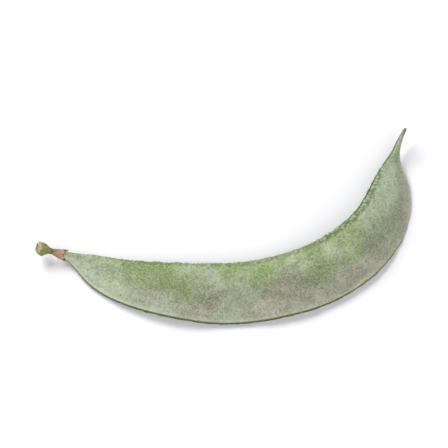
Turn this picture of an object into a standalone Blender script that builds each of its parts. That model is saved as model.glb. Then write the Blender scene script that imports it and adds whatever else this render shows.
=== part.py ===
"""A hyacinth bean pod, as picked, lying on a surface with its calyx and the stub of its stalk.

Three pieces that grew one on the other: the flat crescent pod, the cup of sepals round its neck,
and the short stalk that ends in the swollen joint where it broke from the vine.
Lengths are in millimetres until a mesh is made. X runs along the pod, Y away from the viewer,
Z up, and the surface is Z = 0.
"""

import math

import bmesh
import bpy
import numpy as np

MM = 0.001

# The middle line of the pod in plan: (distance from the neck, heading in degrees left of +X).
HEADING = [
    (0, -8), (3, -22), (8, -28), (14, -25), (24, -15), (48, -1), (60, 8), (75, 19), (86, 31),
    (97, 46), (105, 62), (113, 77), (123, 85), (129, 73), (136, 58),
]
# Breadth of the pod: (distance, breadth).
BREADTH = [
    (0, 1.9), (1.5, 2.5), (5, 4.8), (10.5, 9.3), (18, 12.6), (28, 15.4), (40, 17.6), (60, 18.6),
    (85, 18.7), (100, 17.8), (108, 16.8), (115, 14.4), (121, 9.9), (125, 5.6), (128.5, 2.7),
    (132, 1.6), (136, 0.8),
]
POD_LENGTH = BREADTH[-1][0]
# How far the flat of the pod leans, in degrees, with its inner seam raised: (distance, lean).
LEAN = [(0, 2), (20, 4), (55, 9), (85, 16), (104, 27), (118, 33), (128, 28), (136, 18)]
# Slow waves in that lean: (wave length, degrees, phase).
LEAN_WAVES = [(43.0, 2.2, 0.4), (27.0, 1.4, 2.1)]
# Height of the underside over the surface, without the seeds: (distance, height). The pod rests
# near 14, 55 and 110, where its lowest points fall under zero and are cut flat.
CLEARANCE = [
    (0, 2.4), (7, 0.7), (14, -0.25), (24, 0.5), (36, 0.8), (55, 0.1), (76, 0.8),
    (96, 0.6), (110, -0.5), (119, 0.6), (128, 2.9), (136, 6.2),
]

WIDEST = max(breadth for _, breadth in BREADTH)
HALF_THICKNESS = 2.9
# The section swells fast from the inner seam and thins slowly towards the outer one.
INNER_POWER, OUTER_POWER = 0.5, 0.9
# The two rims: half thickness, reach over the face, and rounding of the edge.
INNER_RIM, INNER_BAND, INNER_ROUND = 1.5, 2.4, 1.2
OUTER_RIM, OUTER_BAND, OUTER_ROUND = 0.8, 1.5, 0.7
GROOVE_DEPTH, GROOVE_HALF_WIDTH = 0.45, 0.4
WART_PITCH, WART_HEIGHT, WART_REACH = 2.7, 0.5, 1.1
OUTER_WART_HEIGHT = 0.16

# The seeds swell both faces, nearer the inner seam: (distance along the pod, height).
SEEDS = [(32, 0.6), (54, 0.75), (76, 0.8), (95, 0.7), (111, 0.45)]
SEED_PLACE, SEED_HALF_LENGTH, SEED_HALF_WIDTH = 0.41, 6.4, 4.6

POD_RINGS, POD_SIDES = 190, 22

CALYX_SIDES, CALYX_TEETH = 30, 5
CALYX_GAP, CALYX_WALL, CALYX_RIM_WALL = 0.3, 0.5, 0.4
CALYX_CUP, CALYX_TOOTH, CALYX_BASE = 0.6, 1.3, 2.8
TOOTH_FLARE = 0.15

STALK_GAP = 0.3
STALK_SIDES, STALK_RINGS = 24, 20
# Radius of the stalk: (distance from the calyx, radius).
STALK_RADIUS = [(0, 1.1), (0.6, 1.0), (1.2, 1.3), (2.1, 1.8), (3.2, 1.9), (4.0, 1.75), (4.5, 1.2)]
STALK_LENGTH = STALK_RADIUS[-1][0]
STALK_TURN, STALK_RISE = 10.0, 0.25
# Lumps on the joint, where other flowers fell: (distance, degrees round, height, spread).
STALK_LUMPS = [(3.1, 60, 0.7, 0.8), (3.6, 200, 0.45, 0.8), (2.4, 315, 0.35, 0.7)]

POD_GREEN = (0.34, 0.40, 0.26, 1.0)
CALYX_TAN = (0.36, 0.25, 0.16, 1.0)
STALK_OLIVE = (0.23, 0.26, 0.07, 1.0)


def smooth(rows, at):
    """A smooth curve through rows of (place, value), read at the places given."""
    places = np.array([row[0] for row in rows], float)
    values = np.array([row[1] for row in rows], float)
    steps = np.diff(places)
    slopes = np.diff(values) / steps
    inner = (slopes[:-1] * steps[1:] + slopes[1:] * steps[:-1]) / (steps[1:] + steps[:-1])
    tangents = np.concatenate([slopes[:1], inner, slopes[-1:]])
    at = np.clip(np.asarray(at, float), places[0], places[-1])
    k = np.clip(np.searchsorted(places, at, side="right") - 1, 0, len(steps) - 1)
    step = steps[k]
    u = (at - places[k]) / step
    return (
        values[k] * (1 + 2 * u) * (1 - u) ** 2
        + tangents[k] * step * u * (1 - u) ** 2
        + values[k + 1] * u * u * (3 - 2 * u)
        + tangents[k + 1] * step * u * u * (u - 1)
    )


def waves(rows, along):
    """The sum of sine waves given as (wave length, height, phase)."""
    return sum(height * np.sin(2 * math.pi * along / length + phase) for length, height, phase in rows)


def middle_line(step=0.25):
    """Distances along the pod with the middle line's X and Y, followed along its heading."""
    along = np.arange(0, POD_LENGTH + step, step)
    heading = np.radians(smooth(HEADING, along - step / 2))
    x = np.cumsum(np.cos(heading)) * step
    y = np.cumsum(np.sin(heading)) * step
    return along, x, y


MIDDLE = middle_line()


def rounded(distance, radius):
    """Rises from 0 at an edge to 1 at the radius, as a quarter circle does."""
    near = np.clip(distance / radius, 0, 1)
    return np.sqrt(1 - (1 - near) ** 2)


def half_thickness(across, width):
    """Half the pod's thickness at a distance across from the inner seam, without seeds or warts."""
    share = np.clip(across / width, 0, 1)
    peak = INNER_POWER / (INNER_POWER + OUTER_POWER)
    lens = (share / peak) ** INNER_POWER * ((1 - share) / (1 - peak)) ** OUTER_POWER
    body = HALF_THICKNESS * (width / WIDEST) ** 0.8 * lens
    slim = width / (width + 1.0)
    inner_rim = INNER_RIM * slim * np.exp(-((across / INNER_BAND) ** 2))
    outer_rim = OUTER_RIM * slim * np.exp(-(((width - across) / OUTER_BAND) ** 2))
    full = (body**3 + inner_rim**3 + outer_rim**3) ** (1 / 3)
    inner_edge = rounded(across, min(INNER_ROUND, width / 2))
    outer_edge = rounded(width - across, min(OUTER_ROUND, width / 2))
    return full * inner_edge * outer_edge


def seed_swelling(along, across, width):
    """What the seeds add to one face of the pod."""
    return sum(
        height
        * np.exp(-(((along - place) / SEED_HALF_LENGTH) ** 2))
        * np.exp(-(((across - SEED_PLACE * width) / SEED_HALF_WIDTH) ** 2))
        for place, height in SEEDS
    )


def pod_frame(along):
    """Inner seam's point, direction across, direction of the upper face, and breadth."""
    width = float(smooth(BREADTH, along))
    heading = math.radians(smooth(HEADING, along))
    lean = math.radians(smooth(LEAN, along) + waves(LEAN_WAVES, along))
    outward = np.array([math.sin(heading), -math.cos(heading), 0.0])
    upward = np.array([0.0, 0.0, 1.0])
    across_way = outward * math.cos(lean) - upward * math.sin(lean)
    up_way = outward * math.sin(lean) + upward * math.cos(lean)
    middle = np.array([np.interp(along, MIDDLE[0], MIDDLE[1]), np.interp(along, MIDDLE[0], MIDDLE[2]), 0.0])
    inner = middle - outward * math.cos(lean) * width / 2
    samples = np.linspace(0, width, 60)
    depth = np.max(samples * math.sin(lean) + half_thickness(samples, width) * math.cos(lean))
    inner[2] = smooth(CLEARANCE, along) + depth
    return inner, across_way, up_way, width


def wart(along, side):
    """From 0 between two warts to 1 on top of one; the two faces' warts take turns."""
    drift = 0.9 * math.sin(2 * math.pi * along / 17.3) + 0.7 * math.sin(2 * math.pi * along / 7.9)
    phase = 2 * math.pi * along / WART_PITCH + drift + (0 if side > 0 else math.pi)
    size = 0.8 + 0.2 * math.sin(2 * math.pi * along / 11.7 + side)
    return size * max(0.0, math.cos(phase))


def pod_ring(along, angles, warts=True):
    """The pod's outline at a distance along: angle 0 is the inner seam and half a turn the outer."""
    inner, across_way, up_way, width = pod_frame(along)
    across = width * (0.5 - 0.5 * np.cos(angles))
    side = np.where(np.sin(angles) >= 0, 1.0, -1.0)
    on_face = np.abs(np.sin(angles)) > 1e-6
    thick = (half_thickness(across, width) + seed_swelling(along, across, width)) * on_face
    slim = width / (width + 4.0)
    near_inner = np.exp(-((across / WART_REACH) ** 2))
    near_outer = np.exp(-(((width - across) / WART_REACH) ** 2))
    groove = GROOVE_DEPTH * slim * np.exp(-((thick / GROOVE_HALF_WIDTH) ** 2)) * near_inner
    if warts:
        raised = np.array([wart(along, way) for way in side]) * slim * on_face
        thick = thick + WART_HEIGHT * raised * near_inner
        across = across - WART_HEIGHT * 0.6 * raised * near_inner + OUTER_WART_HEIGHT * raised * near_outer
    across = across + groove
    points = inner + np.outer(across, across_way) + np.outer(side * thick, up_way)
    points[:, 2] = np.maximum(points[:, 2], 0.0)
    return points


def closed_rings(name, rings, material):
    """One closed body from rings of the same number of points, with a cap on each end."""
    mesh = bpy.data.meshes.new(name)
    bm = bmesh.new()
    loops = [[bm.verts.new(point * MM) for point in ring] for ring in rings]
    for low, high in zip(loops, loops[1:]):
        for i in range(len(low)):
            j = (i + 1) % len(low)
            bm.faces.new((low[i], low[j], high[j], high[i]))
    bm.faces.new(loops[0][::-1])
    bm.faces.new(loops[-1])
    bmesh.ops.triangulate(bm, faces=bm.faces[:])
    bmesh.ops.recalc_face_normals(bm, faces=bm.faces[:])
    bm.to_mesh(mesh)
    bm.free()
    mesh.shade_smooth()
    mesh.materials.append(material)
    piece = bpy.data.objects.new(name, mesh)
    bpy.context.scene.collection.objects.link(piece)
    return piece


def skin(name, colour, roughness):
    """A plain material of one colour."""
    material = bpy.data.materials.new(name)
    material.use_nodes = True
    shader = material.node_tree.nodes["Principled BSDF"]
    shader.inputs["Base Color"].default_value = colour
    shader.inputs["Roughness"].default_value = roughness
    shader.inputs["Metallic"].default_value = 0.0
    return material


def make_pod():
    """Both halves of the pod in one body, with its rims, warts, seed swellings and beak."""
    angles = np.linspace(0, 2 * math.pi, POD_SIDES, endpoint=False)
    places = np.linspace(0, POD_LENGTH, POD_RINGS)
    rings = [pod_ring(along, angles) for along in places]
    return closed_rings("pod", rings, skin("pod_skin", POD_GREEN, 0.6))


def neck_end():
    """Centre of the neck's end and the direction that leads away from the pod."""
    angles = np.linspace(0, 2 * math.pi, 24, endpoint=False)
    end = pod_ring(0.0, angles, warts=False).mean(axis=0)
    further = pod_ring(2.0, angles, warts=False).mean(axis=0)
    away = end - further
    return end, away / np.linalg.norm(away)


def neck_ring(along, angles, out):
    """A ring round the neck, a distance out from its skin, also past the neck's end."""
    points = pod_ring(max(along, 0.0), angles, warts=False)
    centre = points.mean(axis=0)
    spokes = points - centre
    lengths = np.linalg.norm(spokes, axis=1, keepdims=True)
    points = centre + spokes * (lengths + np.reshape(out, (-1, 1))) / lengths
    if along < 0:
        points = points + neck_end()[1] * -along
    return points


def make_calyx():
    """The dry cup of sepals round the neck: its outside, its toothed rim and its inside."""
    angles = np.linspace(0, 2 * math.pi, CALYX_SIDES, endpoint=False)
    teeth = np.abs(np.cos(angles * CALYX_TEETH / 2)) ** 0.8
    outside = CALYX_GAP + CALYX_WALL
    tips = [neck_ring(CALYX_CUP + CALYX_TOOTH * tooth, angles, CALYX_GAP) for tooth in teeth]
    tip_inner = np.array([ring[i] for i, ring in enumerate(tips)])
    centre = tip_inner.mean(axis=0)
    spokes = tip_inner - centre
    spokes /= np.linalg.norm(spokes, axis=1, keepdims=True)
    tip_inner = tip_inner + spokes * TOOTH_FLARE * teeth[:, None]
    tip_outer = tip_inner + spokes * CALYX_RIM_WALL
    rings = [
        neck_ring(-CALYX_BASE, angles, 0.0),
        neck_ring(-CALYX_BASE + 0.4, angles, 0.2),
        neck_ring(-CALYX_GAP - 0.4, angles, outside * 0.75),
        neck_ring(0.0, angles, outside),
        neck_ring(CALYX_CUP * 0.6, angles, outside),
        tip_outer,
        tip_inner,
        neck_ring(CALYX_CUP * 0.6, angles, CALYX_GAP),
        neck_ring(-CALYX_GAP, angles, CALYX_GAP),
    ]
    return closed_rings("calyx", rings, skin("calyx_paper", CALYX_TAN, 0.85))


def stalk_frame(along):
    """Centre of the stalk, and the level and upright ways across it, at a distance along."""
    start, away = neck_end()
    start = start + away * (CALYX_BASE + STALK_GAP)
    steps = np.linspace(0, along, 12) / STALK_LENGTH
    headings = math.atan2(away[1], away[0]) + np.radians(STALK_TURN) * steps
    ways = np.stack([np.cos(headings), np.sin(headings), away[2] + STALK_RISE * steps], axis=1)
    ways /= np.linalg.norm(ways, axis=1, keepdims=True)
    way = ways[-1]
    level = np.cross([0.0, 0.0, 1.0], way)
    level /= np.linalg.norm(level)
    return start + along * ways.mean(axis=0), level, np.cross(way, level)


def make_stalk():
    """The stub of the stalk: slim at the calyx, swollen at the joint, and broken off."""
    angles = np.linspace(0, 2 * math.pi, STALK_SIDES, endpoint=False)
    rings = []
    for along in np.linspace(0, STALK_LENGTH, STALK_RINGS):
        centre, level, upright = stalk_frame(along)
        radius = np.full(STALK_SIDES, smooth(STALK_RADIUS, along))
        for place, turn, height, spread in STALK_LUMPS:
            apart = np.angle(np.exp(1j * (angles - math.radians(turn)))) * radius
            radius = radius + height * np.exp(-(apart**2 + (along - place) ** 2) / spread**2)
        across = np.outer(radius * np.cos(angles), level)
        rings.append(centre + across + np.outer(radius * np.sin(angles), upright))
    return closed_rings("stalk", rings, skin("stalk_skin", STALK_OLIVE, 0.6))


def centre_over_origin(pieces):
    """Moves the pieces in X and Y so that the origin is under the middle of their box."""
    corners = np.array([vertex.co for piece in pieces for vertex in piece.data.vertices])
    middle = (corners.min(axis=0) + corners.max(axis=0)) / 2
    for piece in pieces:
        for vertex in piece.data.vertices:
            vertex.co.x -= middle[0]
            vertex.co.y -= middle[1]


def main():
    for old in list(bpy.data.objects):
        bpy.data.objects.remove(old)
    centre_over_origin([make_pod(), make_calyx(), make_stalk()])


main()
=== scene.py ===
"""Dresses a hyacinth bean pod: its pebbled skin and warty seams, its dry calyx, and its stalk.

Lengths are in millimetres inside the rules and node trees, and in metres on the finished meshes.
"""

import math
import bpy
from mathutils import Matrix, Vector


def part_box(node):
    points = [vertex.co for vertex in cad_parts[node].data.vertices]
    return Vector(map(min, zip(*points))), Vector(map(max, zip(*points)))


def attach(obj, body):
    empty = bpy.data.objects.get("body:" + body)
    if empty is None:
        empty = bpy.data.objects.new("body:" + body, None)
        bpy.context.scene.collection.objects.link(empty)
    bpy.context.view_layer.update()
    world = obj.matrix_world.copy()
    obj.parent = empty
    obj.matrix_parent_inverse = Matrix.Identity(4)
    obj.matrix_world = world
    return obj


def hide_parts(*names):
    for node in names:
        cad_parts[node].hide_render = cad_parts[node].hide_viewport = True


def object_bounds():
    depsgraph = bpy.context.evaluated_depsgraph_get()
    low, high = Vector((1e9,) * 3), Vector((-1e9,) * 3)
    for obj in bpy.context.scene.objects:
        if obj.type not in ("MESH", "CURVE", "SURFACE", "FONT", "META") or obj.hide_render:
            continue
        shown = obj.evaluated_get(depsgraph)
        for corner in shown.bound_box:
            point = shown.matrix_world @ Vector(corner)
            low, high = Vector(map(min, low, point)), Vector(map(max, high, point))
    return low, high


bl_info = {
    "name": "Hyacinth Bean Pod",
    "version": (1, 0, 0),
    "blender": (4, 5, 0),
    "location": "3D View > Sidebar > Bean Pod",
    "description": "Grows a hyacinth bean pod with its calyx and stalk, and sets it on a pale stage",
    "category": "Add Mesh",
}

import bmesh
import bpy
import numpy as np
from bpy.props import FloatProperty, FloatVectorProperty, IntProperty, PointerProperty
from mathutils import Vector, noise

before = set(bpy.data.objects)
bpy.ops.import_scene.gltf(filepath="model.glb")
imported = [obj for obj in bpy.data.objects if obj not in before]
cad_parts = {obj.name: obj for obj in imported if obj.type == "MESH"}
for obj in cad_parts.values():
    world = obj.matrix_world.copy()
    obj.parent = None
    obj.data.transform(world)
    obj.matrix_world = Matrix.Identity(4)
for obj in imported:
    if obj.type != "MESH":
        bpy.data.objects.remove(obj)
CAD_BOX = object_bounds()

MM = 0.001

# The middle line of the pod in plan: (distance from the neck, heading in degrees left of +X).
HEADING = [
    (0, -8), (3, -22), (8, -28), (14, -25), (24, -15), (48, -1), (60, 8), (75, 19), (86, 31),
    (97, 46), (105, 62), (113, 77), (123, 85), (129, 73), (136, 58),
]
# Breadth of the pod: (distance, breadth).
BREADTH = [
    (0, 1.9), (1.5, 2.5), (5, 4.8), (10.5, 9.3), (18, 12.6), (28, 15.4), (40, 17.6), (60, 18.6),
    (85, 18.7), (100, 17.8), (108, 16.8), (115, 14.4), (121, 9.9), (125, 5.6), (128.5, 2.7),
    (132, 1.6), (136, 0.8),
]
POD_LENGTH = BREADTH[-1][0]
# How far the flat of the pod leans, in degrees, with its inner seam raised: (distance, lean).
LEAN = [(0, 2), (20, 4), (55, 9), (85, 16), (104, 27), (118, 33), (128, 28), (136, 18)]
# Slow waves in that lean: (wave length, degrees, phase).
LEAN_WAVES = [(43.0, 2.2, 0.4), (27.0, 1.4, 2.1)]
# Height of the underside over the surface, without the seeds: (distance, height).
CLEARANCE = [
    (0, 2.4), (7, 0.7), (14, -0.25), (24, 0.5), (36, 0.8), (55, 0.1), (76, 0.8),
    (96, 0.6), (110, -0.5), (119, 0.6), (128, 2.9), (136, 6.2),
]

WIDEST = max(breadth for _, breadth in BREADTH)
# Half the thickness where the pod is widest, and how it thins as the breadth does.
HALF_THICKNESS, THINNING_POWER = 2.9, 0.8
# The section swells fast from the inner seam and thins slowly towards the outer one.
INNER_POWER, OUTER_POWER = 0.5, 0.9
# The two rims: half thickness, reach over the face, and rounding of the edge.
INNER_RIM, INNER_BAND, INNER_ROUND = 1.5, 2.4, 1.2
OUTER_RIM, OUTER_BAND, OUTER_ROUND = 0.8, 1.5, 0.7
# How crisply the rims stand out from the body: a higher power gives a sharper hollow between.
RIM_POWER = 3.0
# Breadths at which the rims, and then the groove and the fine relief, are down to half.
RIM_FADE, RELIEF_FADE = 1.0, 4.0
GROOVE_DEPTH, GROOVE_HALF_WIDTH, GROOVE_REACH = 0.45, 0.4, 1.1
# How far from each end the section closes to a point.
NECK_CLOSING, TIP_CLOSING = 0.4, 0.6
# Sizes of the pod that can be set, under these names in its settings and its tree.
POD_SIZES = ["Bead Height", "Bead Spacing", "Pebble Height", "Vein Height", "Crease Height",
             "Swell Height"]
# Share of the length over which the rings crowd together towards the tip.
TIP_CROWDING = 0.006
# Points nearer than this are joined, where each section closes on itself and at both ends.
MERGE_REACH = 0.002

# The seeds swell both faces, nearer the inner seam: (distance along the pod, height, green tint).
SEEDS = [(32, 0.6, 0.75), (54, 0.75, 0.5), (76, 0.8, 1.0), (95, 0.7, 0.45), (111, 0.45, 0.55)]
SEED_PLACE, SEED_HALF_LENGTH, SEED_HALF_WIDTH = 0.41, 6.4, 4.6

# Rows of beads beside the inner seam: (distance from the seam, size, spacing, height, own draw),
# where spacing and height are shares of the settings.
BEAD_ROWS = [(1.15, 0.62, 1.0, 1.0, 0.0), (2.05, 0.5, 1.17, 0.75, 3.0), (3.0, 0.42, 1.9, 0.45, 7.0)]

# Height of the rough skin at the seams, and the shares of it by the inner and the outer one.
ROUGH_HEIGHT, WART_SHARE, EDGE_SHARE = 0.6, 0.35, 0.3

# Where the skin changes tone: (distance along, share across from the inner seam, reach along).
FRESH_PATCHES = [(24, 0.15, 13), (36, 0.4, 8), (61, 0.2, 7), (83, 0.45, 8)]
PALE_PATCHES = [
    (7, 0.7, 12), (18, 0.85, 6), (46, 0.2, 6), (74, 0.0, 4), (89, 0.15, 4), (104, 0.25, 5),
    (115, 0.2, 8), (118, 0.42, 9),
]
DULL_PATCHES = [(47, 0.6, 8), (75, 0.66, 8)]
# Reach of every patch across the pod, as a share of its breadth.
PATCH_REACH = 0.25

# The calyx, from the pod's end: its foot, the notches of its rim, and the bottom of its cup.
CALYX_BASE, CALYX_CUP, CALYX_GAP = 2.8, 0.6, 0.3
# Heights of the rim's fraying, and of the coarse and fine crumples.
FRAYING, COARSE_CRUMPLE, FINE_CRUMPLE = 0.22, 0.2, 0.09
# Where the stalk's own distances start, past the foot, and how far it goes into the calyx.
STALK_GAP, STALK_ROOT = 0.3, 0.2
# Radius of the stalk: (distance from the calyx, radius).
STALK_RADIUS = [(0, 1.1), (0.6, 1.0), (1.2, 1.3), (2.1, 1.8), (3.2, 1.9), (4.0, 1.75), (4.5, 1.2)]
STALK_LENGTH = STALK_RADIUS[-1][0]
# Turn in plan over its length, in degrees, and gain in its upward slope.
STALK_TURN, STALK_RISE = 10.0, 0.25
# Lumps on the joint, where other flowers fell: (distance, degrees round, height, spread).
STALK_LUMPS = [(3.1, 60, 0.7, 0.8), (3.6, 200, 0.45, 0.8), (2.4, 315, 0.35, 0.7)]
# The round scar on each lump: radius of its dish, and radius, width and relative height of its lip.
SCAR_DISH, SCAR_LIP, LIP_WIDTH, LIP_SHARE = 0.34, 0.52, 0.14, 0.6
# Rings over the broken end, and how deep it is hollowed.
END_RINGS, END_HOLLOW = 18, 0.3

# Side of each soft light, and its place.
KEY_SIZE, KEY_PLACE = 0.36, (-0.28, 0.3, 0.46)
FILL_SIZE, FILL_PLACE = 0.6, (0.2, -0.4, 0.52)


# Formulas that work on numbers, on arrays, and on sockets of a node tree


class Field:
    """A number or a vector in a node tree, so that a rule can be written as a formula."""

    def __init__(self, tree, socket):
        self.tree = tree
        self.socket = socket

    def __add__(self, other):
        return math_node("ADD", self, other)

    def __radd__(self, other):
        return math_node("ADD", other, self)

    def __sub__(self, other):
        return math_node("SUBTRACT", self, other)

    def __rsub__(self, other):
        return math_node("SUBTRACT", other, self)

    def __mul__(self, other):
        return math_node("MULTIPLY", self, other)

    def __rmul__(self, other):
        return math_node("MULTIPLY", other, self)

    def __truediv__(self, other):
        return math_node("DIVIDE", self, other)

    def __pow__(self, other):
        return math_node("POWER", self, other)


def plug(value, socket):
    """Links a field to a socket, or sets the socket to a plain value."""
    if isinstance(value, Field):
        value.tree.links.new(value.socket, socket)
    else:
        socket.default_value = value


def tree_of(values):
    return next(value.tree for value in values if isinstance(value, Field))


def math_node(operation, *values, clamp=False):
    node = tree_of(values).nodes.new("ShaderNodeMath")
    node.operation = operation
    node.use_clamp = clamp
    for value, socket in zip(values, node.inputs):
        plug(value, socket)
    return Field(tree_of(values), node.outputs[0])


def either(operation, rule, *values):
    """A math node where a field is among the values, and numpy's own rule otherwise."""
    if any(isinstance(value, Field) for value in values):
        return math_node(operation, *values)
    return rule(*values)


def exp(x):
    return either("EXPONENT", np.exp, x)


def root(x):
    return either("SQRT", np.sqrt, x)


def sine(x):
    return either("SINE", np.sin, x)


def least(a, b):
    return either("MINIMUM", np.minimum, a, b)


def most(a, b):
    return either("MAXIMUM", np.maximum, a, b)


def unit(x):
    """Held between 0 and 1."""
    return least(most(x, 0.0), 1.0)


def ease(x, low, high):
    """Rises smoothly from 0 at low to 1 at high."""
    near = unit((x - low) / (high - low))
    return near * near * (3.0 - 2.0 * near)


def bell(x, middle, spread):
    near = (x - middle) / spread
    return exp(near * near * -1.0)


# Node helpers


def add_node(tree, kind, inputs=None, **settings):
    """A node with its settings made and its inputs filled by name or number."""
    node = tree.nodes.new(kind)
    for name, value in settings.items():
        setattr(node, name, value)
    for name, value in (inputs or {}).items():
        plug(value, node.inputs[name])
    return node


def out(node, name=0):
    return Field(node.id_data, node.outputs[name])


def vector_node(operation, a, b=None, scale=None):
    node = add_node(tree_of([a, b]), "ShaderNodeVectorMath", {0: a}, operation=operation)
    if b is not None:
        plug(b, node.inputs[1])
    if scale is not None:
        plug(scale, node.inputs["Scale"])
    return out(node)


def scaled(vector, factor):
    return vector_node("SCALE", vector, scale=factor)


def join(tree, x=0.0, y=0.0, z=0.0):
    return out(add_node(tree, "ShaderNodeCombineXYZ", {"X": x, "Y": y, "Z": z}))


def split(vector):
    node = add_node(vector.tree, "ShaderNodeSeparateXYZ", {0: vector})
    return [out(node, axis) for axis in "XYZ"]


def noise_field(vector, scale, detail=2.0, roughness=0.5, name=0):
    """Noise round 0.5, with its scale in waves per unit of the vector."""
    inputs = {"Vector": vector, "Scale": scale, "Detail": detail, "Roughness": roughness}
    return out(add_node(vector.tree, "ShaderNodeTexNoise", inputs), name)


def waves(vector, scale, detail, roughness=0.5):
    """The same noise round 0, and twice as strong, as a height."""
    return (noise_field(vector, scale, detail, roughness) - 0.5) * 2.0


def cells(vector, scale):
    """Distance to the nearest of many scattered points."""
    inputs = {"Vector": vector, "Scale": scale}
    return out(add_node(vector.tree, "ShaderNodeTexVoronoi", inputs), "Distance")


def warped(vector, scale, push):
    """The same place pushed about by a noise, so that a pattern on it turns irregular."""
    return vector_node("ADD", vector, scaled(noise_field(vector, scale, name="Color"), push))


def patches(rows, along, share):
    """Soft patches on the skin, from 0 between them to 1 in their middles."""
    hills = [
        bell(along, place, reach) * bell(share, across, PATCH_REACH) for place, across, reach in rows
    ]
    return unit(sum(hills[1:], hills[0]))


def blend_colours(factor, low, high):
    tree = tree_of([factor, low, high])
    node = add_node(tree, "ShaderNodeMix", {0: factor, 6: low, 7: high}, data_type="RGBA")
    return out(node, 2)


def layered(skin, layers):
    """Lays colours over a skin in turn, from rows of (cover, colour), with the cover from 0 to 1."""
    for cover, tint in layers:
        skin = blend_colours(cover, skin, tint)
    return skin


def mottled(skin, pattern, pale, dark, lift, drop):
    """Paler where a pattern is high, by the lift, and darker where it is low, by the drop."""
    skin = blend_colours(ease(pattern, 0.5, 0.66) * lift, skin, pale)
    return blend_colours((1.0 - ease(pattern, 0.34, 0.5)) * drop, skin, dark)


def colour(red, green, blue):
    """A linear colour from the 0 to 255 values that a picture shows."""
    shown = [channel / 255 for channel in (red, green, blue)]
    linear = [s / 12.92 if s <= 0.04045 else ((s + 0.055) / 1.055) ** 2.4 for s in shown]
    return (*linear, 1.0)


# The rules of the pod


def smooth(rows, at):
    """A smooth curve through rows of (place, value), read at the places given."""
    places = np.array([row[0] for row in rows], float)
    values = np.array([row[1] for row in rows], float)
    steps = np.diff(places)
    slopes = np.diff(values) / steps
    inner = (slopes[:-1] * steps[1:] + slopes[1:] * steps[:-1]) / (steps[1:] + steps[:-1])
    tangents = np.concatenate([slopes[:1], inner, slopes[-1:]])
    at = np.clip(np.asarray(at, float), places[0], places[-1])
    k = np.clip(np.searchsorted(places, at, side="right") - 1, 0, len(steps) - 1)
    step = steps[k]
    u = (at - places[k]) / step
    return (
        values[k] * (1 + 2 * u) * (1 - u) ** 2
        + tangents[k] * step * u * (1 - u) ** 2
        + values[k + 1] * u * u * (3 - 2 * u)
        + tangents[k + 1] * step * u * u * (u - 1)
    )


def rounded(distance, radius):
    """Rises from 0 at an edge to 1 at the radius, as a quarter circle does."""
    left = 1.0 - unit(distance / radius)
    return root(most(1.0 - left * left, 0.0))


def half_thickness(across, width):
    """Half the pod's thickness at a distance across from the inner seam, without seeds or warts."""
    share = unit(across / width)
    peak = INNER_POWER / (INNER_POWER + OUTER_POWER)
    lens = (share / peak) ** INNER_POWER * ((1.0 - share) / (1.0 - peak)) ** OUTER_POWER
    body = HALF_THICKNESS * (width / WIDEST) ** THINNING_POWER * lens
    slim = width / (width + RIM_FADE)
    inner_rim = INNER_RIM * slim * bell(across, 0.0, INNER_BAND)
    outer_rim = OUTER_RIM * slim * bell(across, width, OUTER_BAND)
    powers = body**RIM_POWER + inner_rim**RIM_POWER + outer_rim**RIM_POWER
    full = powers ** (1.0 / RIM_POWER)
    inner_edge = rounded(across, least(INNER_ROUND, width / 2.0))
    outer_edge = rounded(width - across, least(OUTER_ROUND, width / 2.0))
    return full * inner_edge * outer_edge


def over_seeds(along, across, width, heights):
    """A soft hill over each seed, seen from one face of the pod, with the heights given."""
    middle = bell(across, SEED_PLACE * width, SEED_HALF_WIDTH)
    hills = [
        height * bell(along, seed[0], SEED_HALF_LENGTH) for seed, height in zip(SEEDS, heights)
    ]
    return sum(hills[1:], hills[0]) * middle


class Path:
    """The middle line of the pod as it lies, with the ways across it and its breadth."""

    def __init__(self, step=0.25):
        self.along = np.arange(0, POD_LENGTH + step / 2, step)
        heading = np.radians(smooth(HEADING, self.along))
        between = np.radians(smooth(HEADING, self.along - step / 2))
        lean_waves = sum(
            height * np.sin(2 * math.pi * self.along / length + phase)
            for length, height, phase in LEAN_WAVES
        )
        self.lean = np.radians(smooth(LEAN, self.along) + lean_waves)
        self.width = smooth(BREADTH, self.along)
        flat = np.zeros_like(self.along)
        outward = np.stack([np.sin(heading), -np.cos(heading), flat], axis=1)
        upward = np.array([0.0, 0.0, 1.0])
        sin, cos = np.sin(self.lean)[:, None], np.cos(self.lean)[:, None]
        self.across_way = outward * cos - upward * sin
        self.up_way = outward * sin + upward * cos
        x = np.cumsum(np.cos(between)) * step
        y = np.cumsum(np.sin(between)) * step
        self.middle = np.stack([x, y, flat], axis=1)
        self.middle[:, 2] = smooth(CLEARANCE, self.along) + self.depth() - sin[:, 0] * self.width / 2
        self.lay_on_frame()

    def depth(self):
        """Height of the inner seam over the lowest point of the underside."""
        share = np.linspace(0, 1, 60)[:, None]
        across = share * self.width
        drop = across * np.sin(self.lean) + half_thickness(across, self.width) * np.cos(self.lean)
        return drop.max(axis=0)

    def lay_on_frame(self):
        """Moves the line so that its seams fill the box of the pod's solid."""
        reach = self.across_way * self.width[:, None] / 2
        seams = np.concatenate([self.middle - reach, self.middle + reach])[:, :2]
        low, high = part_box("pod")
        centre = (np.array(low[:2]) + np.array(high[:2])) / 2 / MM
        self.middle[:, :2] += centre - (seams.min(axis=0) + seams.max(axis=0)) / 2

    def at(self, along):
        """Centre, way across, way up and breadth at one distance, also before the neck."""
        centre, across, up = (
            np.array([np.interp(along, self.along, line[:, i]) for i in range(3)])
            for line in (self.middle, self.across_way, self.up_way)
        )
        if along < 0:
            centre = centre + self.away() * -along
        return centre, across, up, float(np.interp(along, self.along, self.width))

    def away(self):
        """The way out of the neck's end, from the pod to the stalk."""
        way = self.middle[0] - self.at(2.0)[0]
        return way / np.linalg.norm(way)


PATH = Path()


# Meshes


def new_object(name, data):
    """An object with the data given, in the scene and at its origin."""
    made = bpy.data.objects.new(name, data)
    bpy.context.scene.collection.objects.link(made)
    return made


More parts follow.
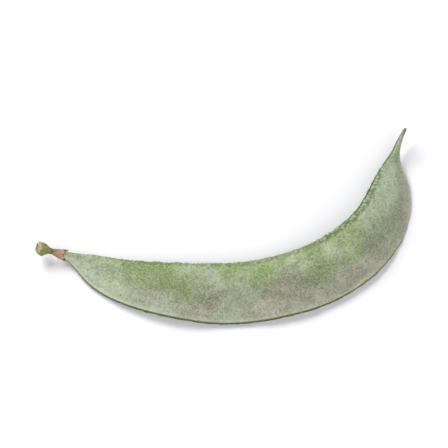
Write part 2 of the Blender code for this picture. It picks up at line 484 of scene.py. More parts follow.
def mesh_piece(name, mesh, material, node):
    """Makes a finished mesh a piece that stands for a node of the frame."""
    mesh.name = name
    piece = new_object(name, mesh)
    if not mesh.materials:
        mesh.materials.append(material)
    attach(piece, "root")
    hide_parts(node)


def tube_mesh(name, rings, values):
    """A closed skin over rings of points, with a pole at each end and named values on its points."""
    mesh = bpy.data.meshes.new(name)
    bm = bmesh.new()
    loops = [[bm.verts.new(point * MM) for point in ring] for ring in rings]
    for low, high in zip(loops, loops[1:]):
        for i in range(len(low)):
            j = (i + 1) % len(low)
            bm.faces.new((low[i], low[j], high[j], high[i]))
    for loop, ring in ((loops[0], rings[0]), (loops[-1], rings[-1])):
        pole = bm.verts.new(ring.mean(axis=0) * MM)
        for i in range(len(loop)):
            bm.faces.new((loop[i], loop[(i + 1) % len(loop)], pole))
    bmesh.ops.recalc_face_normals(bm, faces=bm.faces[:])
    bm.to_mesh(mesh)
    bm.free()
    for label, grid in values.items():
        on_points = np.concatenate([np.ravel(grid), [grid[0].mean(), grid[-1].mean()]])
        mesh.attributes.new(label, "FLOAT", "POINT").data.foreach_set("value", on_points)
    mesh.shade_smooth()
    return mesh


# The pod


def pod_curve():
    """The middle line as a curve, with the breadth as its radius and the lean as its tilt."""
    data = bpy.data.curves.new("pod_line", "CURVE")
    data.dimensions = "3D"
    data.twist_mode = "Z_UP"
    spline = data.splines.new("POLY")
    spline.points.add(len(PATH.along) - 1)
    for point, place, width, lean in zip(spline.points, PATH.middle, PATH.width, PATH.lean):
        point.co = (*place * MM, 1.0)
        point.radius = width
        point.tilt = lean
    return new_object("pod_line", data)


def tree_inputs(tree, **names):
    """Gives a geometry tree its named inputs, listed by the type of their sockets, and its output."""
    for kind, labels in names.items():
        for label in labels:
            tree.interface.new_socket(label, in_out="INPUT", socket_type="NodeSocket" + kind)
    tree.interface.new_socket("Mesh", in_out="OUTPUT", socket_type="NodeSocketGeometry")
    return tree.nodes.new("NodeGroupInput")


def changed(mesh, kind, inputs=None, name="Geometry", **settings):
    """The mesh of a geometry tree after one more node."""
    return out(add_node(mesh.tree, kind, {name: mesh, **(inputs or {})}, **settings))


def bead_row(along, arc, side, spacing, place, reach, draw, seed):
    """Rounded beads in a row beside the seam, each with its own size and place: 0 to 1."""
    # Two slow waves spread the beads unevenly, and then each one has its own shift.
    drift = 0.6 * sine(along * (2 * math.pi / 17.3) + draw) + 0.4 * sine(along * (2 * math.pi / 6.1))
    turn = (along + drift) / spacing + side * 0.25 + draw
    number = math_node("FLOOR", turn)
    dice = add_node(along.tree, "ShaderNodeTexWhiteNoise", {
        "Vector": join(along.tree, number, side + draw, seed + draw),
    })
    size, shift, spare = split(out(dice, "Color"))
    size = 0.35 + 0.65 * size
    length = reach * (0.75 + 0.5 * spare)
    off_along = (turn - number - 0.5) * spacing / length
    off_arc = (arc - place - (shift - 0.5) * 0.7) / (reach * (0.6 + 0.5 * size))
    left = most(1.0 - off_along * off_along - off_arc * off_arc, 0.0)
    return root(left) * size


def pod_tree():
    """Grows the pod round a curve: a section for every place along it, then its fine relief."""
    tree = bpy.data.node_groups.new("Grow Bean Pod", "GeometryNodeTree")
    given = tree_inputs(
        tree, Geometry=["Line"], Int=["Rings", "Sides", "Seed"], Material=["Skin"],
        Float=["Length", *POD_SIZES],
    )
    sides = out(given, "Sides") + 1.0
    grid = add_node(tree, "GeometryNodeMeshGrid", {
        "Size X": 1.0, "Size Y": 1.0, "Vertices X": out(given, "Rings"), "Vertices Y": sides,
    })
    on_grid = split(out(tree.nodes.new("GeometryNodeInputPosition")))
    to_tip = 0.5 - on_grid[0]
    factor = 1.0 - to_tip * to_tip * (1.0 + TIP_CROWDING) / (to_tip + TIP_CROWDING)
    angle = (on_grid[1] + 0.5) * (2 * math.pi)

    radius = out(tree.nodes.new("GeometryNodeInputRadius"))
    sample = add_node(tree, "GeometryNodeSampleCurve", {
        "Curves": out(given, "Line"), "Value": radius, "Factor": factor,
    }, data_type="FLOAT", mode="FACTOR", use_all_curves=True)
    across_way = out(sample, "Normal")
    up_way = vector_node("CROSS_PRODUCT", across_way, out(sample, "Tangent"))
    width = out(sample, "Value")

    along = factor * out(given, "Length")
    share = 0.5 - math_node("COSINE", angle) * 0.5
    # Which face a point is on, 1 or -1, and 0 on both seams.
    on_face = math_node("GREATER_THAN", math_node("ABSOLUTE", sine(angle)), 0.001)
    side = math_node("SIGN", sine(angle)) * on_face
    across = share * width
    seeds = over_seeds(along, across, width, [seed[1] for seed in SEEDS])
    tints = over_seeds(along, across, width, [seed[2] for seed in SEEDS])
    thick = half_thickness(across, width) + seeds
    slim = width / (width + RELIEF_FADE)
    groove = GROOVE_DEPTH * slim * bell(thick, 0.0, GROOVE_HALF_WIDTH) * bell(across, 0.0, GROOVE_REACH)
    closing = rounded(along, NECK_CLOSING) * rounded(out(given, "Length") - along, TIP_CLOSING)
    sideways = scaled(across_way, ((share - 0.5) * width + groove) * closing * MM)
    upwards = scaled(up_way, side * thick * closing * MM)
    on_skin = vector_node("ADD", out(sample, "Position"), vector_node("ADD", sideways, upwards))

    arc = root(across * across + thick * thick)
    beads = 0.0
    for place, reach, spread, height, draw in BEAD_ROWS:
        spacing = out(given, "Bead Spacing") * spread
        row = bead_row(along, arc, side, spacing, place, reach, draw, out(given, "Seed"))
        beads = most(beads, row * height)
    beads = beads * slim * closing
    mesh = out(grid, "Mesh")
    for label, value in (
        ("share", share), ("along", along), ("seed", tints), ("bead", beads),
        ("arc", arc), ("slim", slim * closing), ("face", side),
    ):
        mesh = changed(mesh, "GeometryNodeStoreNamedAttribute", {"Name": label, "Value": value},
                       data_type="FLOAT", domain="POINT")
    mesh = changed(mesh, "GeometryNodeSetPosition", {"Position": on_skin})
    mesh = changed(mesh, "GeometryNodeMergeByDistance", {"Distance": MERGE_REACH * MM})
    mesh = changed(mesh, "GeometryNodeFlipFaces", name="Mesh")
    mesh = relief(tree, mesh, given)
    mesh = changed(mesh, "GeometryNodeSetShadeSmooth")
    mesh = changed(mesh, "GeometryNodeRealizeInstances")
    mesh = changed(mesh, "GeometryNodeSetMaterial", {"Material": out(given, "Skin")})
    add_node(tree, "NodeGroupOutput", {0: mesh})
    return tree


def stored(tree, label):
    node = add_node(tree, "GeometryNodeInputNamedAttribute", {"Name": label}, data_type="FLOAT")
    return out(node, "Attribute")


def relief(tree, mesh, given):
    """Raises the skin's fine relief, from beads to slow swells, and flattens what would sink."""
    mm = scaled(out(tree.nodes.new("GeometryNodeInputPosition")), 1 / MM)
    along, share, arc = stored(tree, "along"), stored(tree, "share"), stored(tree, "arc")
    slim, side = stored(tree, "slim"), stored(tree, "face")
    beads = stored(tree, "bead") * out(given, "Bead Height")
    warts = unit(0.62 - cells(mm, 0.85)) * bell(arc, 2.6, 2.2) * WART_SHARE
    edge = bell(share, 1.0, 0.03) * unit(0.6 - cells(mm, 0.8)) * EDGE_SHARE
    pebbles = waves(mm, 1.1, 3.0, 0.6) * out(given, "Pebble Height")
    slant = join(tree, along * 0.34 + share * 1.6 * side, share * 0.5, side)
    veins = waves(slant, 1.0, 3.0, 0.55) * out(given, "Vein Height")
    inside = bell(share, 0.5, 0.32)
    swells = waves(mm, 0.12, 1.0) * out(given, "Swell Height") * inside
    creases = waves(mm, 0.36, 2.0) * out(given, "Crease Height")
    rough = (warts + edge) * ROUGH_HEIGHT
    height = (beads + rough + pebbles + veins + swells + creases) * slim
    normal = out(tree.nodes.new("GeometryNodeInputNormal"))
    mesh = changed(mesh, "GeometryNodeSetPosition", {"Offset": scaled(normal, height * MM)})
    x, y, z = split(out(tree.nodes.new("GeometryNodeInputPosition")))
    return changed(mesh, "GeometryNodeSetPosition", {"Position": join(tree, x, y, most(z, 0.0))})


def grown_mesh(line, tree, values):
    """Runs a geometry tree on a curve and returns the plain mesh that it makes."""
    modifier = line.modifiers.new(tree.name, "NODES")
    modifier.node_group = tree
    for item in tree.interface.items_tree:
        if item.in_out == "INPUT" and item.name in values:
            modifier[item.identifier] = values[item.name]
    evaluated = line.evaluated_get(bpy.context.evaluated_depsgraph_get())
    mesh = bpy.data.meshes.new_from_object(evaluated)
    line.modifiers.remove(modifier)
    bpy.data.objects.remove(line)
    return mesh


def principled(tree, base, roughness, bump=None, strength=0.3, distance=0.1, **constants):
    """Sets a new material's shader: colour, roughness and bump, and the values that stay constant."""
    shader = tree.nodes["Principled BSDF"]
    plug(base, shader.inputs["Base Color"])
    plug(roughness, shader.inputs["Roughness"])
    for socket, value in constants.items():
        shader.inputs[socket.replace("_", " ")].default_value = value
    if bump is not None:
        node = add_node(tree, "ShaderNodeBump", {
            "Height": bump, "Strength": strength, "Distance": distance * MM,
        })
        tree.links.new(node.outputs[0], shader.inputs["Normal"])


def new_material(name):
    material = bpy.data.materials.new(name)
    material.use_nodes = True
    return material, material.node_tree


def surface_mm(tree):
    """Object coordinates in millimetres."""
    return scaled(out(tree.nodes.new("ShaderNodeTexCoord"), "Object"), 1 / MM)


def attribute(tree, label):
    return out(add_node(tree, "ShaderNodeAttribute", attribute_name=label), "Fac")


class SkinPlaces:
    """Places on the pod's skin, and the patterns that its tones follow, from broad to fine."""

    def __init__(self, tree):
        self.tree = tree
        self.mm = surface_mm(tree)
        self.share = attribute(tree, "share")
        self.along = attribute(tree, "along")
        self.broad = noise_field(self.mm, 0.075, 2.0)
        self.patch = noise_field(self.mm, 0.26, 1.0)
        self.mottle = noise_field(self.mm, 0.8, 3.0, 0.6)
        self.grain = noise_field(self.mm, 2.2, 2.0)
        self.dots = cells(warped(self.mm, 1.1, 0.9), 1.5)


def skin_areas(on, settings):
    """The large areas of tone: the bands along the pod, and its fresh, pale and dull patches."""
    tone_along = on.along + (on.broad - 0.5) * 18.0 + (on.patch - 0.5) * 8.0
    tone_share = on.share + (on.patch - 0.5) * 0.45
    inner_side = 1.0 - ease(tone_share + (on.broad - 0.5) * 0.3, 0.5, 0.82)
    band = 1.0 - ease(tone_share, 0.05, 0.36)
    fresh = patches(FRESH_PATCHES, tone_along, tone_share)
    pale = patches(PALE_PATCHES, tone_along, tone_share)
    dull = patches(DULL_PATCHES, tone_along, tone_share)
    over_seed = ease(attribute(on.tree, "seed"), 0.3, 1.1)
    elsewhere = vector_node("ADD", on.mm, join(on.tree, 31.0, 17.0, 5.0))
    hue, cloud = noise_field(elsewhere, 0.11, 1.0), noise_field(on.mm, 0.12, 1.0)
    warm = (1.0 - ease(hue, 0.36, 0.5)) * (1.0 - most(fresh, pale)) * (1.0 - band)
    skin = blend_colours(inner_side, settings.outer_colour, settings.middle_colour)
    skin = layered(skin, [
        (band * 0.85, settings.inner_colour),
        (most(fresh * 0.65, over_seed * 0.4), settings.seed_colour),
        (pale * 0.85, settings.pale_colour),
        (ease(hue, 0.48, 0.62) * (0.2 + 0.4 * inner_side), settings.fresh_colour),
        (warm * 0.4, settings.blush_colour),
    ])
    skin = mottled(skin, cloud, settings.pale_colour, settings.fleck_colour, 0.4, 0.18)
    return blend_colours(dull * 0.75, skin, settings.blush_colour)


def skin_grain(on, settings, skin):
    """Waxy bloom and dark flecks over the skin, from soft puffs and slanting streaks to grain."""
    bloom, fleck = settings.bloom_colour, settings.fleck_colour
    slant = join(on.tree, on.along * 0.42 + on.share * 2.2, on.share * 0.8, 0.0)
    streak = noise_field(slant, 1.0, 3.0, 0.6)
    skin = mottled(skin, noise_field(on.mm, 0.4, 1.0), bloom, fleck, 0.12, 0.08)
    skin = mottled(skin, on.mottle, bloom, fleck, 0.12, 0.12)
    skin = layered(skin, [
        (ease(streak, 0.54, 0.78) * 0.12, bloom),
        ((1.0 - ease(on.dots, 0.1, 0.42)) * 0.2, bloom),
        (ease(on.dots, 0.5, 0.85) * 0.36, fleck),
    ])
    return mottled(skin, on.grain, bloom, fleck, 0.36, 0.26)


def skin_edges(on, settings, skin):
    """The pale margin with its painted highlight, the beads and the painted shade between them, the
    seams and the outer edge with painted shade, and the dry edge and tip.
    """
    bead = attribute(on.tree, "bead")
    # Pale band inside the outer edge: a painted highlight where the rim catches light, together with
    # the pale green of the neck near the neck.
    margin_tone_and_highlight = ease(on.share, 0.84, 0.95) * (0.35 * on.patch + 0.4 * bell(on.along, 6.0, 20.0))
    # Painted shade in the hollows between the beads, laid over the seam's own deeper green.
    by_beads = 1.0 - ease(on.share + (on.mottle - 0.5) * 0.1, 0.05, 0.1)
    gap_green_and_shade = (1.0 - ease(bead, 0.05, 0.5)) * by_beads
    # The inner seam's dark line: its own dark green with painted shade in its groove.
    inner_seam = 1.0 - ease(on.share, 0.0, 0.005)
    # The outer edge's green band, darkened as painted shade where the edge turns down and away, a
    # little wider by the neck, and lighter on the dry arm.
    by_neck = 0.02 * bell(on.along, 4.0, 10.0)
    edge = ease(on.share + (on.mottle - 0.5) * 0.014 + by_neck, 0.966, 0.982)
    dry = ease(on.along + (on.patch - 0.5) * 12.0, 100.0, 114.0)
    tip = ease(on.along + (on.patch - 0.5) * 3.0, POD_LENGTH - 3.2, POD_LENGTH - 0.8)
    return layered(skin, [
        (margin_tone_and_highlight, settings.margin_tone_and_highlight_colour),
        # The painted shade between the beads grows stronger from 74 to 92 mm, over the curved arm.
        (gap_green_and_shade * (0.4 + 0.3 * ease(on.along, 74.0, 92.0)), settings.gap_green_and_shade_colour),
        (ease(bead, 0.25, 0.75) * 0.4, settings.bead_colour),
        (inner_seam * 0.8, settings.seam_line_and_shade_colour),
        (edge * (0.85 - 0.75 * dry), settings.edge_green_and_shade_colour),
        # The outer seam's dark line, widened by painted shade on the underside of the edge.
        (ease(on.share, 0.98, 0.995) * (0.75 - 0.65 * dry), settings.seam_line_and_shade_colour),
        (ease(on.share, 0.93, 0.97) * dry * 0.6, settings.dry_colour),
        (tip * 0.8, settings.tip_colour),
    ])


def pod_skin(settings):
    """Waxy grey-green skin: fresh green by the inner seam, olive in the middle, greyer outside."""
    material, tree = new_material("bean_skin")
    on = SkinPlaces(tree)
    skin = skin_areas(on, settings)
    skin = skin_grain(on, settings, skin)
    skin = skin_edges(on, settings, skin)
    roughness = 0.5 + 0.22 * on.mottle
    fine = on.grain * 0.6 + on.mottle * 0.5 - on.dots * 0.3
    principled(tree, skin, roughness, fine, strength=0.6, distance=0.16,
               Sheen_Weight=0.3, Sheen_Roughness=0.45, Subsurface_Weight=0.06,
               Subsurface_Scale=0.001, Specular_IOR_Level=0.35)
    return material


# The calyx


def calyx_rings(settings):
    """Rings of the cup from its base up the outside, over the torn rim and down the inside."""
    angles = np.linspace(0, 2 * math.pi, settings.sides, endpoint=False)
    place = angles * settings.teeth / (2 * math.pi)
    # From 0 at the middle of a tooth to 1 in the notch beside it.
    near = np.abs(place - np.round(place)) * 2
    number = np.round(place).astype(int) % settings.teeth
    length = 0.7 + 0.3 * np.sin(number * 2.4 + 1.0)
    curl = (0.5 + 0.5 * np.sin(number * 4.1)) * (1 - near)
    fray = np.array([
        noise.noise(Vector((math.cos(a) * 3, math.sin(a) * 3, 1.7)))
        + 0.5 * noise.noise(Vector((math.cos(a) * 9, math.sin(a) * 9, 5.2)))
        for a in angles
    ])
    rim = CALYX_CUP + settings.tooth_length * (1 - near**1.4) * length + FRAYING * fray
    vein = np.abs(place * 3 - np.round(place * 3)) * 2
    rings = []
    values = {"height": [], "below": [], "vein": [], "round_x": [], "round_y": []}

    def add_ring(height, outside):
        below = rim - height
        ring = [
            calyx_point(settings, *point, outside)
            for point in zip(angles, height, curl, vein, np.minimum(below / 0.8, 1.0))
        ]
        rings.append(np.array(ring))
        for name, value in zip(values, (height, below, vein, np.cos(angles), np.sin(angles))):
            values[name].append(value)

    for v in np.linspace(0, 1, settings.rows):
        add_ring(-CALYX_BASE + v * (rim + CALYX_BASE), 1)
    for v in np.linspace(1, 0, settings.rows // 2):
        add_ring(-CALYX_GAP + v * (rim + CALYX_GAP), 0)
    return rings, values


def calyx_point(settings, angle, height, curl, vein, below_rim, outside):
    """One point of the cup: the neck's own section, widened by the gap, the paper and its veins."""
    centre, across, up, width = PATH.at(height)
    thick = half_thickness(np.linspace(0, width, 40), width).max()
    opened = ease(height, -CALYX_BASE, 0.4)
    wide = (1 - opened) * settings.foot + opened * (width / 2 + settings.gap)
    tall = (1 - opened) * settings.foot + opened * (thick + settings.gap)
    foot = rounded(height + CALYX_BASE, 0.35) if height < 0 else 1.0
    raised = settings.vein_height * math.exp(-((vein / 0.35) ** 2)) * opened
    around = (math.cos(angle), math.sin(angle))
    coarse = noise.noise(Vector((around[0] * 1.6, around[1] * 1.6, height * 0.8)))
    fine = noise.noise(Vector((around[0] * 5, around[1] * 5, height * 2.2 + 7)))
    crumple = COARSE_CRUMPLE * coarse + FINE_CRUMPLE * fine
    rise = max(height - 0.2, 0.0)
    paper = settings.paper * (0.35 + 0.65 * below_rim)
    out_by = paper * outside + raised + crumple * (0.4 + 0.6 * opened) + 0.22 * curl * rise * rise
    x = (wide + out_by) * around[0] * foot
    y = (tall + out_by) * around[1] * foot
    return centre - across * x + up * y


def calyx_paper(settings):
    """Dry papery sepals, tan at the rim and pinkish brown below, with darker veins."""
    material, tree = new_material("dry_sepals")
    mm = surface_mm(tree)
    height, vein = attribute(tree, "height"), attribute(tree, "vein")
    patch, fine = noise_field(mm, 1.0, 3.0), noise_field(mm, 4.0, 3.0, 0.6)
    round_x, round_y = attribute(tree, "round_x"), attribute(tree, "round_y")
    fibre = noise_field(join(tree, round_x * 6.0, round_y * 6.0, height * 0.5), 1.0, 3.0)
    up = ease(height + (patch - 0.5) * 1.6, -2.6, 1.2)
    edge = 1.0 - ease(attribute(tree, "below") + (fine - 0.5) * 0.3, 0.05, 0.3)
    paper = blend_colours(up, settings.base_colour, settings.rim_colour)
    paper = layered(paper, [
        (ease(patch, 0.5, 0.66) * 0.7, settings.pink_colour),
        (ease(fibre, 0.55, 0.7) * 0.5, settings.pale_colour),
        ((1.0 - ease(vein, 0.1, 0.5)) * 0.35, settings.dark_colour),
        (ease(0.5 - fine, 0.04, 0.2) * 0.45, settings.dark_colour),
        (edge * 0.6, settings.dark_colour),
    ])
    principled(tree, paper, 0.7 + 0.2 * fine, fine + fibre, strength=0.6, distance=0.12,
               Sheen_Weight=0.1, Specular_IOR_Level=0.3)
    return material


# The stalk


def stalk_frame(along):
    """Centre of the stalk, and the level and upright ways across it, at a distance along."""
    away = PATH.away()
    start = PATH.middle[0] + away * (CALYX_BASE + STALK_GAP)
    steps = np.linspace(0, along, 12) / STALK_LENGTH
    headings = math.atan2(away[1], away[0]) + np.radians(STALK_TURN) * steps
    ways = np.stack([np.cos(headings), np.sin(headings), away[2] + STALK_RISE * steps], axis=1)
    ways /= np.linalg.norm(ways, axis=1, keepdims=True)
    way = ways[-1]
    level = np.cross([0.0, 0.0, 1.0], way)
    level /= np.linalg.norm(level)
    return start + along * ways.mean(axis=0), level, np.cross(way, level)


def stalk_rings(settings):
    """Rings of the stalk with its lumps, the round scars on them, and the torn end."""
    angles = np.linspace(0, 2 * math.pi, settings.sides, endpoint=False)
    rings = []
    values = {"along": [], "scar": [], "torn": []}

    def add_ring(along, spread, torn):
        centre, level, upright = stalk_frame(along)
        radius = np.full(settings.sides, smooth(STALK_RADIUS, along))
        scar = np.zeros(settings.sides)
        for place, turn, height, reach in STALK_LUMPS:
            apart = np.angle(np.exp(1j * (angles - math.radians(turn)))) * radius
            far = np.sqrt(apart**2 + (along - place) ** 2)
            radius = radius + height * np.exp(-((far / reach) ** 2))
            dish = np.exp(-((far / SCAR_DISH) ** 2))
            lip = np.exp(-(((far - SCAR_LIP) / LIP_WIDTH) ** 2))
            radius = radius + settings.scar_depth * (LIP_SHARE * lip - dish)
            scar = np.maximum(scar, dish)
        radius = radius * spread
        ring = []
        for a, r in zip(angles, radius):
            point = centre + r * math.cos(a) * level + r * math.sin(a) * upright
            coarse = noise.noise(Vector(point))
            crease = 0.35 - abs(noise.noise(Vector(point * 0.85) + Vector((9.0, 2.0, 5.0))))
            fine = noise.noise(Vector(point * 3.6))
            push = settings.wrinkle * (1.2 * coarse - 1.6 * max(crease, 0.0) + 0.45 * fine)
            push += torn * 0.2 * noise.noise(Vector(point * 3.0))
            along_push = torn * 0.3 * noise.noise(Vector((point[1] * 2.6, point[2] * 2.6, 3.0)))
            spoke = (point - centre) / max(r, 1e-6)
            ring.append(point + spoke * push * spread - np.cross(level, upright) * along_push)
        rings.append(np.array(ring))
        values["along"].append(np.full(settings.sides, along))
        values["scar"].append(scar * spread)
        values["torn"].append(np.full(settings.sides, torn))

    start = -STALK_GAP - STALK_ROOT
    for along in np.linspace(start, STALK_LENGTH, settings.rows):
        foot = 0.72 + 0.28 * ease(along, start, 0.5)
        add_ring(along, foot, ease(along, STALK_LENGTH - 0.35, STALK_LENGTH))
    for spread in np.linspace(0.95, 0.05, END_RINGS):
        add_ring(STALK_LENGTH - END_HOLLOW * (1 - spread**4), spread, 1.0)
    return rings, values


def stalk_skin(settings):
    """Olive skin, browner in its wrinkles and scars, pale and dry at the torn end."""
    material, tree = new_material("joint_skin")
    mm = surface_mm(tree)
    along, scar, torn = (attribute(tree, label) for label in ("along", "scar", "torn"))
    patch, fine = noise_field(mm, 0.8, 3.0), noise_field(mm, 3.2, 3.0, 0.65)
    specks = cells(mm, 2.6)
    dry = ease(along + (fine - 0.5) * 1.6, STALK_LENGTH - 0.9, STALK_LENGTH - 0.3)
    foot = 1.0 - ease(along + (fine - 0.5) * 0.8, 0.0, 0.9)
    skin = blend_colours(ease(patch, 0.4, 0.6), settings.green_colour, settings.olive_colour)
    skin = layered(skin, [
        (ease(0.5 - fine, 0.0, 0.2) * 0.5, settings.brown_colour),
        ((1.0 - ease(specks, 0.1, 0.35)) * 0.35, settings.torn_colour),
        (ease(scar, 0.3, 0.8) * 0.8, settings.scar_colour),
        (dry * 0.85, settings.torn_colour),
        (ease(torn * fine, 0.3, 0.6) * 0.5, settings.brown_colour),
        (foot * 0.6, settings.brown_colour),
    ])
    principled(tree, skin, 0.5 + 0.25 * fine, fine, strength=0.55, distance=0.15,
               Sheen_Weight=0.12, Specular_IOR_Level=0.35)
    return material


# The stage


def floor_material(settings):
    """A matt white ground."""
    material, tree = new_material("floor_white")
    principled(tree, settings.floor_colour, 0.9, Specular_IOR_Level=0.1)
    return material


def area_light(name, power, size, place, target):
    """A square soft light that faces its target."""
    data = bpy.data.lights.new(name, "AREA")
    data.energy = power
    data.shape = "SQUARE"
    data.size = size
    light = new_object(name, data)
    light.location = place
    light.rotation_euler = (Vector(target) - Vector(place)).to_track_quat("-Z", "Y").to_euler()


# Settings


def shade(name, description, red, green, blue):
    """A colour setting whose default is given as a picture shows it."""
    return FloatVectorProperty(
        name=name, description=description, subtype="COLOR", size=4, min=0.0, max=1.0,
        default=colour(red, green, blue),
    )


def in_mm(name, description, default):
    return FloatProperty(name=name, description=description + ", in mm", default=default)


class PodSettings(bpy.types.PropertyGroup):
    rings: IntProperty(name="Rings", description="Sections along the pod", default=610, min=50)
    sides: IntProperty(name="Sides", description="Points round each section", default=160, min=16)
    seed: IntProperty(name="Seed", description="Another draw of the beads' sizes and places", default=0)
    bead_height: in_mm("Bead height", "Height of the beads on the inner seam", 0.5)
    bead_spacing: in_mm("Bead spacing", "Distance between beads", 1.45)
    pebble_height: in_mm("Pebble height", "Height of the skin's fine pebbles", 0.13)
    vein_height: in_mm("Vein height", "Height of the faint slanting veins", 0.12)
    crease_height: in_mm("Crease height", "Height of the soft creases", 0.3)
    swell_height: in_mm("Swell height", "Height of the slow swells of each face", 0.8)
    inner_colour: shade("Inner band", "Fresh green along the inner seam", 140, 164, 90)
    middle_colour: shade("Middle", "Olive grey of the middle", 138, 145, 108)
    outer_colour: shade("Outer", "Grey green of the outer half", 178, 175, 158)
    seed_colour: shade("Fresh patches", "Deeper green over the seeds and in patches", 122, 146, 72)
    blush_colour: shade("Dull patches", "Dull pinkish grey in patches", 134, 128, 108)
    pale_colour: shade("Pale patches", "Pale silvery green in patches", 182, 197, 166)
    fresh_colour: shade("Fresh clouds", "Yellow green in soft clouds", 138, 162, 94)
    bloom_colour: shade("Bloom", "Pale waxy bloom", 192, 199, 178)
    # Partly a painted highlight along the outer rim, partly the pale green by the neck.
    margin_tone_and_highlight_colour: shade("Margin", "Pale yellow green just inside the outer edge", 194, 204, 166)
    fleck_colour: shade("Flecks", "Dark flecks in the skin", 84, 100, 64)
    bead_colour: shade("Beads", "Yellow green of the beads", 156, 174, 114)
    # Partly the seam's own deep green, partly painted shade between the beads.
    gap_green_and_shade_colour: shade("Between beads", "Deep green between the beads", 66, 88, 40)
    # The edge's own green, darkened as painted shade on the down-turned edge.
    edge_green_and_shade_colour: shade("Edge", "Green of the outer edge", 80, 98, 54)
    # The seams' own dark lines, widened and deepened as painted shade.
    seam_line_and_shade_colour: shade("Seams", "Dark green in the seams", 52, 68, 34)
    dry_colour: shade("Dry edge", "Pale beige of the outer edge by the beak", 196, 190, 166)
    tip_colour: shade("Tip", "Dry brown at the beak's tip", 122, 108, 82)


class CalyxSettings(bpy.types.PropertyGroup):
    sides: IntProperty(name="Sides", description="Points round the cup", default=210, min=20)
    rows: IntProperty(name="Rows", description="Rings up the outside of the cup", default=52, min=6)
    teeth: IntProperty(name="Teeth", description="Sepals round the rim", default=5, min=3)
    tooth_length: in_mm("Tooth length", "Length of a sepal past the cup", 1.1)
    foot: in_mm("Foot", "Radius where it meets the stalk", 0.72)
    gap: in_mm("Gap", "Room round the neck", 0.22)
    paper: in_mm("Paper", "Thickness of the dry sepals", 0.3)
    vein_height: in_mm("Vein height", "Height of the veins up the sepals", 0.12)
    base_colour: shade("Base", "Olive brown by the stalk", 128, 108, 66)
    rim_colour: shade("Rim", "Tan towards the teeth", 206, 178, 146)
    pink_colour: shade("Pink", "Rusty pink patches", 198, 142, 116)
    pale_colour: shade("Pale", "Pale dry fibres", 218, 200, 170)
    dark_colour: shade("Dark", "Dark brown in the folds", 84, 56, 36)


class StalkSettings(bpy.types.PropertyGroup):
    sides: IntProperty(name="Sides", description="Points round the stalk", default=110, min=12)
    rows: IntProperty(name="Rows", description="Rings along the stalk", default=90, min=8)
    wrinkle: in_mm("Wrinkles", "Height of the wrinkles", 0.1)
    scar_depth: in_mm("Scars", "Depth of the round scars", 0.22)
    green_colour: shade("Green", "Fresh olive green", 118, 130, 52)
    olive_colour: shade("Olive", "Yellow olive patches", 150, 146, 84)
    brown_colour: shade("Brown", "Brown in the wrinkles", 86, 74, 36)
    scar_colour: shade("Scars", "Reddish brown scars", 128, 92, 62)
    torn_colour: shade("Broken end", "Pale dry broken end", 186, 178, 146)


class StageSettings(bpy.types.PropertyGroup):
    floor_colour: shade("Floor", "Colour of the ground", 248, 248, 250)
    floor_size: FloatProperty(
        name="Floor", description="Side of the ground", default=6.0, unit="LENGTH")
    key_power: FloatProperty(
        name="Key light", description="Power of the key light", default=3.3, unit="POWER")
    fill_power: FloatProperty(
        name="Fill light", description="Power of the fill light", default=2.6, unit="POWER")
    sky_colour: shade("Sky", "Faint lilac of the light from all round", 246, 241, 255)
    sky: FloatProperty(name="Sky", description="Strength of the light from all round", default=0.24)
    lens: FloatProperty(name="Lens", description="Focal length of the camera in mm", default=250.0)
    elevation: FloatProperty(
        name="Elevation", description="Angle of the view above level", subtype="ANGLE",
        default=math.radians(70))
    framing: FloatProperty(
        name="Framing", description="Share of the picture's width that the pod takes", default=0.84)


# Operators


class OBJECT_OT_bean_pod(bpy.types.Operator):
    """Grow the pod round its middle line, with its seams, beads, seeds and skin"""

    bl_idname = "object.bean_pod"
    bl_label = "Pod"

    def execute(self, context):
        settings = context.scene.bean_pod
        skin = pod_skin(settings)
        values = {"Length": POD_LENGTH, "Skin": skin}
        for name in ("Rings", "Sides", "Seed", *POD_SIZES):
            values[name] = getattr(settings, name.lower().replace(" ", "_"))
        mesh = grown_mesh(pod_curve(), pod_tree(), values)
        mesh_piece("bean_pod", mesh, skin, "pod")
        return {"FINISHED"}


class OBJECT_OT_bean_calyx(bpy.types.Operator):
    """Make the dry cup of sepals round the neck of the pod"""

    bl_idname = "object.bean_calyx"
    bl_label = "Calyx"

    def execute(self, context):
        settings = context.scene.bean_calyx
        mesh = tube_mesh("dry_calyx", *calyx_rings(settings))
        mesh_piece("dry_calyx", mesh, calyx_paper(settings), "calyx")
        return {"FINISHED"}


class OBJECT_OT_bean_stalk(bpy.types.Operator):
    """Make the stub of the stalk with its swollen, scarred joint"""

    bl_idname = "object.bean_stalk"
    bl_label = "Stalk"

    def execute(self, context):
        settings = context.scene.bean_stalk
        mesh = tube_mesh("stalk_joint", *stalk_rings(settings))
        mesh_piece("stalk_joint", mesh, stalk_skin(settings), "stalk")
        return {"FINISHED"}


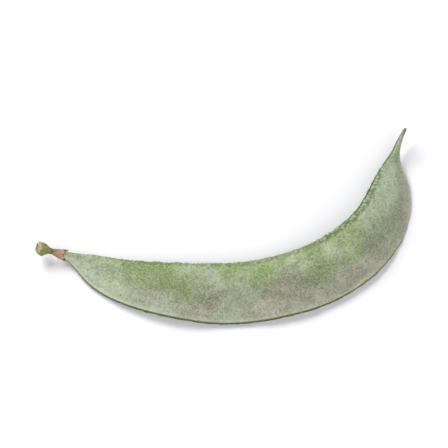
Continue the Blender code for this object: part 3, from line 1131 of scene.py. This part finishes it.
class OBJECT_OT_bean_stage(bpy.types.Operator):
    """Set the white ground, the soft lights and the camera"""

    bl_idname = "object.bean_stage"
    bl_label = "Stage"

    def execute(self, context):
        settings = context.scene.bean_stage
        scene = context.scene
        half = settings.floor_size / 2
        mesh = bpy.data.meshes.new("floor")
        corners = [(-half, -half, 0), (half, -half, 0), (half, half, 0), (-half, half, 0)]
        mesh.from_pydata(corners, [], [(0, 1, 2, 3)])
        mesh.materials.append(floor_material(settings))
        floor = new_object("floor", mesh)

        low, high = Vector(CAD_BOX[0]), Vector(CAD_BOX[1])
        centre = (low + high) / 2
        area_light("key_light", settings.key_power, KEY_SIZE, KEY_PLACE, centre)
        area_light("fill_light", settings.fill_power, FILL_SIZE, FILL_PLACE, centre)
        world = bpy.data.worlds.new("studio")
        world.use_nodes = True
        background = world.node_tree.nodes["Background"]
        background.inputs["Color"].default_value = settings.sky_colour
        background.inputs["Strength"].default_value = settings.sky
        scene.world = world
        scene.view_settings.view_transform = "Standard"

        data = bpy.data.cameras.new("camera")
        data.lens = settings.lens
        view_width = (high.x - low.x) / settings.framing
        distance = view_width * data.lens / data.sensor_width
        back = Vector((0, -math.cos(settings.elevation), math.sin(settings.elevation)))
        camera = new_object("camera", data)
        camera.location = centre + back * distance
        camera.rotation_euler = (-back).to_track_quat("-Z", "Y").to_euler()
        scene.camera = camera
        return {"FINISHED"}


class VIEW3D_PT_bean_pod(bpy.types.Panel):
    """Lists the pieces of the pod with their settings"""

    bl_label = "Bean Pod"
    bl_idname = "VIEW3D_PT_bean_pod"
    bl_space_type = "VIEW_3D"
    bl_region_type = "UI"
    bl_category = "Bean Pod"

    def draw(self, context):
        for operator, label in zip(OPERATORS, SETTINGS):
            settings = getattr(context.scene, label)
            box = self.layout.box()
            box.operator(operator.bl_idname)
            for name in settings.bl_rna.properties.keys():
                if name not in ("rna_type", "name"):
                    box.prop(settings, name)


# Settings by their names in the scene, and the operators in the same order.
SETTINGS = {
    "bean_pod": PodSettings,
    "bean_calyx": CalyxSettings,
    "bean_stalk": StalkSettings,
    "bean_stage": StageSettings,
}
OPERATORS = (OBJECT_OT_bean_pod, OBJECT_OT_bean_calyx, OBJECT_OT_bean_stalk, OBJECT_OT_bean_stage)
CLASSES = (*SETTINGS.values(), *OPERATORS, VIEW3D_PT_bean_pod)


def register():
    for kind in CLASSES:
        bpy.utils.register_class(kind)
    for name, group in SETTINGS.items():
        setattr(bpy.types.Scene, name, PointerProperty(type=group))


def unregister():
    for name in SETTINGS:
        delattr(bpy.types.Scene, name)
    for kind in reversed(CLASSES):
        bpy.utils.unregister_class(kind)


def main():
    register()
    bpy.ops.object.bean_pod()
    bpy.ops.object.bean_calyx()
    bpy.ops.object.bean_stalk()
    bpy.ops.object.bean_stage()


if __name__ == "__main__":
    main()
